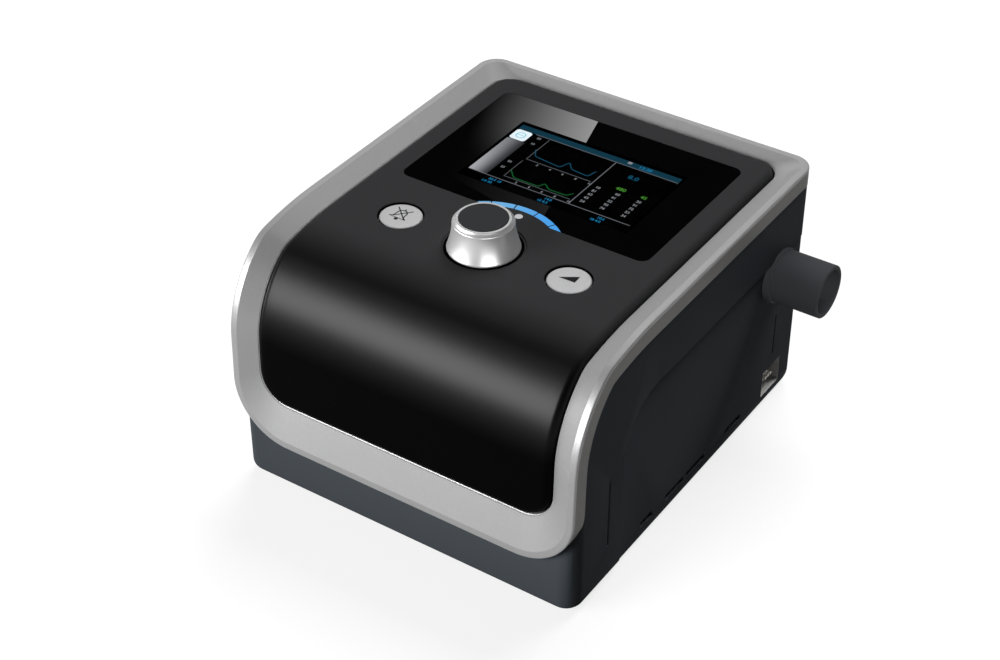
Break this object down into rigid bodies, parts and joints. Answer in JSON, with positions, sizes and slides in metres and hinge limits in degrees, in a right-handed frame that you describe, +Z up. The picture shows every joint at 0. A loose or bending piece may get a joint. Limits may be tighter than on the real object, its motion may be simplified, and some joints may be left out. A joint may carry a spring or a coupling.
{
  "type": "bilevel positive airway pressure machine",
  "caption": "Bedside bilevel breathing machine with a silver frame, a wrap-over dark front, a colour display, a press-and-turn knob, round keys and a side air outlet.",
  "frame": {"origin": "on the surface that the feet stand on, under the middle of the whole machine, air outlet included", "axes": "+Z up, +X to the right as the user sees it, along the air outlet, +Y from front to rear"},
  "size_m": [0.1774, 0.1804, 0.1195],
  "materials": {
    "casing_plastic": "fine spark-eroded texture, dark slate grey",
    "silver_plastic": "satin silver lacquer with a fine metal flake",
    "panel_plastic": "satin black moulding that turns glossy down the front",
    "window_glass": "clear polished window",
    "mask_black": "printed black mask",
    "display": "liquid crystal display",
    "inner_plastic": "unpainted inner moulding",
    "light_guide": "lit blue light guide",
    "white_plastic": "white moulding",
    "satin_metal": "turned and satin anodised",
    "key_metal": "fine turned face",
    "steel": "plain steel",
    "board": "green circuit board",
    "chip": "black component body",
    "card_plastic": "blue memory card",
    "lead": "insulated lead",
    "foam": "open-cell grey foam",
    "foam_white": "white filter wool",
    "rubber": "soft black rubber",
    "magnet": "laminated iron",
    "silicone": "translucent silicone",
    "outlet_plastic": "dark moulded outlet",
    "contact_brass": "gold-plated contact"
  },
  "bodies": {
    "casing": {"main_housing": "casing_plastic", "bezel_frame": "silver_plastic", "front_panel": "panel_plastic", "screen_lens": "window_glass", "display_mask": "mask_black", "lcd_panel": "display", "lcd_holder": "inner_plastic", "light_arc": "light_guide", "indicator_lens": "white_plastic", "encoder_body": "inner_plastic", "button_switches": "inner_plastic", "control_board": "board", "control_board_screws": "steel", "main_board": "board", "main_board_parts": "chip", "main_board_screws": "steel", "card_socket": "steel", "ribbon_cable": "white_plastic", "alarm_speaker": "chip", "speaker_lead": "lead", "power_lead": "lead", "motor_lead": "lead", "muffler_box": "inner_plastic", "muffler_foam": "foam", "muffler_lid": "inner_plastic", "inlet_gasket": "rubber", "blower_bushes": "rubber", "volute_lower": "inner_plastic", "volute_upper": "inner_plastic", "volute_screws": "steel", "motor_stator": "magnet", "motor_bearings": "steel", "motor_can": "steel", "motor_cap": "steel", "motor_screws": "steel", "outlet_coupling": "silicone", "outlet_port": "outlet_plastic", "outlet_seal": "rubber", "pressure_tube": "silicone", "dc_inlet": "chip", "dc_pin": "contact_brass", "comm_socket": "steel", "dock_socket": "white_plastic", "dock_contacts": "contact_brass", "feet": "rubber", "case_screws": "steel"},
    "press_sleeve": {"encoder_sleeve": "steel"},
    "dial": {"knob": "satin_metal", "knob_cap": "panel_plastic", "encoder_shaft": "steel"},
    "mute_key": {"mute_button": "key_metal"},
    "ramp_key": {"ramp_button": "key_metal"},
    "wheel": {"impeller": "white_plastic", "motor_shaft": "steel", "rotor_magnet": "magnet"},
    "cover": {"filter_cover": "casing_plastic", "air_filter": "foam_white"},
    "card": {"memory_card": "card_plastic"},
    "plug": {"port_plug": "rubber"}
  },
  "joints": [
    {"name": "knob_press", "type": "slide", "parent": "casing", "child": "press_sleeve", "axis": [0, 0, -1], "range_m": [0, 0.0008], "stiffness_N_per_m": 4000},
    {"name": "knob_turn", "type": "hinge", "parent": "press_sleeve", "child": "dial", "pos_m": [-0.0107, -0.03031, 0.112], "axis": [0, 0, 1], "continuous": true},
    {"name": "mute_press", "type": "slide", "parent": "casing", "child": "mute_key", "axis": [0, 0, -1], "range_m": [0, 0.0007], "stiffness_N_per_m": 2500},
    {"name": "ramp_press", "type": "slide", "parent": "casing", "child": "ramp_key", "axis": [0, 0, -1], "range_m": [0, 0.0007], "stiffness_N_per_m": 2500},
    {"name": "impeller_spin", "type": "hinge", "parent": "casing", "child": "wheel", "pos_m": [-0.0187, 0.03609, 0.067], "axis": [0, 0, -1], "continuous": true},
    {"name": "cover_pull", "type": "slide", "parent": "casing", "child": "cover", "axis": [0, 1, 0], "range_m": [0, 0.014]},
    {"name": "card_slide", "type": "slide", "parent": "casing", "child": "card", "axis": [-1, 0, 0], "range_m": [0, 0.022]},
    {"name": "plug_pull", "type": "slide", "parent": "casing", "child": "plug", "axis": [0, 1, 0], "range_m": [0, 0.008]}
  ]
}
